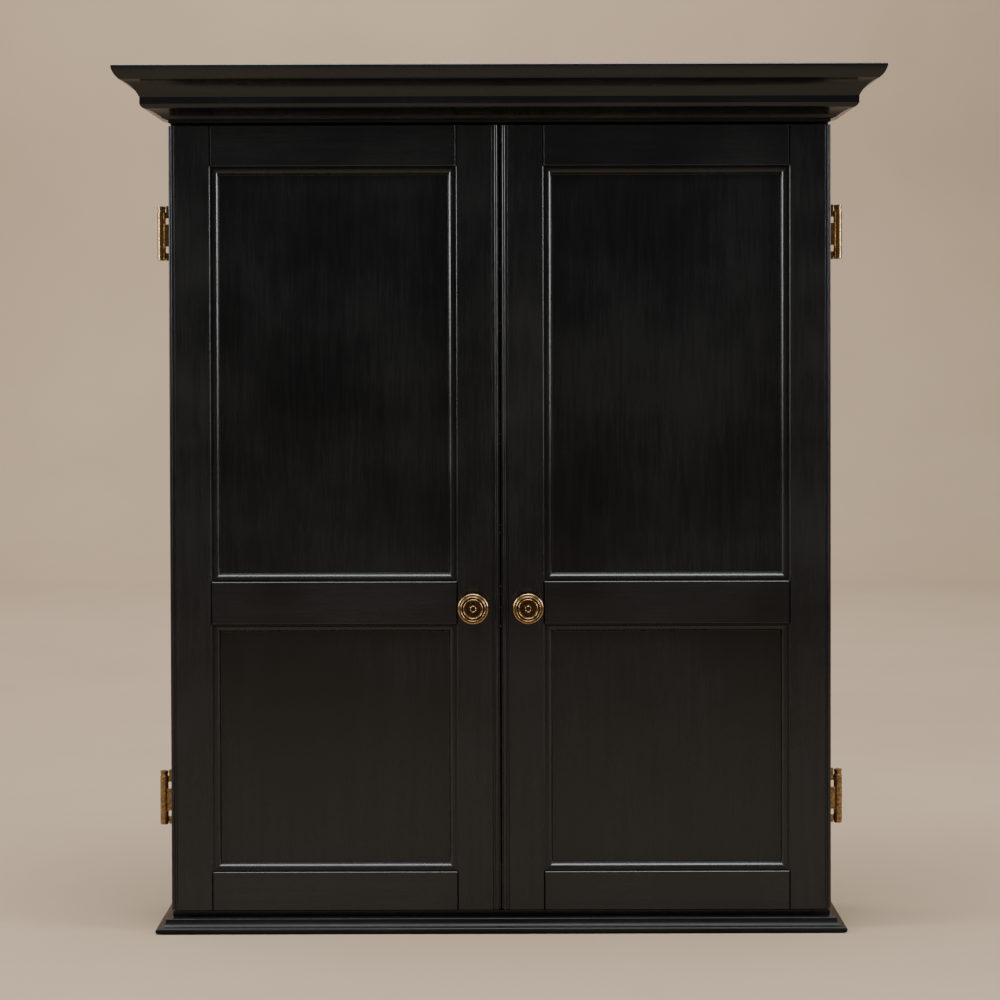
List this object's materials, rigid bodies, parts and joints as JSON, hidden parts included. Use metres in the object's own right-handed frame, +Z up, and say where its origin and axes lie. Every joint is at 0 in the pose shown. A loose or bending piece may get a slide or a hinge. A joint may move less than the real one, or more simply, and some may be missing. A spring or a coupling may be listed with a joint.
{
  "type": "dart board cabinet",
  "caption": "Wall-hung two-door cabinet that encloses a bristle dart board, with crown moulding, brass knobs, a dart rack and chalkboard score panels inside the doors.",
  "frame": {"origin": "on the wall plane, straight behind the bull of the dart board", "axes": "+X to the right seen from the front, -Y out of the wall towards the room (+Y into the wall), +Z up"},
  "size_m": [0.761, 0.1675, 0.863],
  "materials": {
    "black_paint": "satin black paint over wood, brushed, rubbed slightly on the arrises",
    "plywood": "bare plywood back",
    "cork": "granulated cork",
    "chalkboard": "matte chalkboard paint with wiped chalk dust",
    "antique_brass": "antiqued brass, dark brown patina in the hollows",
    "catch_plastic": "moulded brown plastic",
    "steel": "zinc-plated and bright steel",
    "sisal": "compressed sisal bristle, black, cream, red and green beds",
    "dart_metal": "knurled metal barrel, steel point, plastic stem and flight"
  },
  "bodies": {
    "cabinet": {"back_panel": "plywood", "base_front": "black_paint", "base_left": "black_paint", "base_right": "black_paint", "board_bracket": "steel", "bottom_board": "black_paint", "case_screws": "antique_brass", "cork_backing": "cork", "crown_cap": "black_paint", "crown_front": "black_paint", "crown_left": "black_paint", "crown_right": "black_paint", "dart_rack": "black_paint", "frieze_rail": "black_paint", "hinge_pins": "antique_brass", "left_case_hinge_leaves": "antique_brass", "left_side": "black_paint", "lower_hanging_rail": "black_paint", "magnet_catches": "catch_plastic", "right_case_hinge_leaves": "antique_brass", "right_side": "black_paint", "top_board": "black_paint", "upper_hanging_rail": "black_paint"},
    "left_door": {"left_chalkboard": "chalkboard", "left_door_bottom_rail": "black_paint", "left_door_hinge_leaves": "antique_brass", "left_door_lock_rail": "black_paint", "left_door_lower_panel": "black_paint", "left_door_meeting_stile": "black_paint", "left_door_outer_stile": "black_paint", "left_door_panel_mouldings": "black_paint", "left_door_screws": "antique_brass", "left_door_top_rail": "black_paint", "left_door_upper_panel": "black_paint", "left_knob": "antique_brass", "left_strike_plate": "steel"},
    "right_door": {"right_chalkboard": "chalkboard", "right_door_bottom_rail": "black_paint", "right_door_hinge_leaves": "antique_brass", "right_door_lock_rail": "black_paint", "right_door_lower_panel": "black_paint", "right_door_meeting_stile": "black_paint", "right_door_outer_stile": "black_paint", "right_door_panel_mouldings": "black_paint", "right_door_screws": "antique_brass", "right_door_top_rail": "black_paint", "right_door_upper_panel": "black_paint", "right_knob": "antique_brass", "right_strike_plate": "steel"},
    "dart_board": {"board_band": "steel", "hanging_bolt": "steel", "number_ring": "steel", "sisal_board": "sisal", "spider": "steel"},
    "dart_1_body": {"dart_1": "dart_metal"},
    "dart_2_body": {"dart_2": "dart_metal"},
    "dart_3_body": {"dart_3": "dart_metal"},
    "dart_4_body": {"dart_4": "dart_metal"},
    "dart_5_body": {"dart_5": "dart_metal"},
    "dart_6_body": {"dart_6": "dart_metal"}
  },
  "joints": [
    {"name": "left_door_swing", "type": "hinge", "parent": "cabinet", "child": "left_door", "pos_m": [-0.3404, -0.1005, 0], "axis": [0, 0, -1], "range_deg": [0, 180]},
    {"name": "right_door_swing", "type": "hinge", "parent": "cabinet", "child": "right_door", "pos_m": [0.3404, -0.1005, 0], "axis": [0, 0, 1], "range_deg": [0, 180]},
    {"name": "board_turn", "type": "hinge", "parent": "cabinet", "child": "dart_board", "pos_m": [0, -0.03, 0], "axis": [0, 1, 0], "continuous": true},
    {"name": "dart_1_lift", "type": "slide", "parent": "cabinet", "child": "dart_1_body", "axis": [0, 0, 1], "range_m": [0, 0.06]},
    {"name": "dart_2_lift", "type": "slide", "parent": "cabinet", "child": "dart_2_body", "axis": [0, 0, 1], "range_m": [0, 0.06]},
    {"name": "dart_3_lift", "type": "slide", "parent": "cabinet", "child": "dart_3_body", "axis": [0, 0, 1], "range_m": [0, 0.06]},
    {"name": "dart_4_lift", "type": "slide", "parent": "cabinet", "child": "dart_4_body", "axis": [0, 0, 1], "range_m": [0, 0.06]},
    {"name": "dart_5_lift", "type": "slide", "parent": "cabinet", "child": "dart_5_body", "axis": [0, 0, 1], "range_m": [0, 0.06]},
    {"name": "dart_6_lift", "type": "slide", "parent": "cabinet", "child": "dart_6_body", "axis": [0, 0, 1], "range_m": [0, 0.06]}
  ]
}
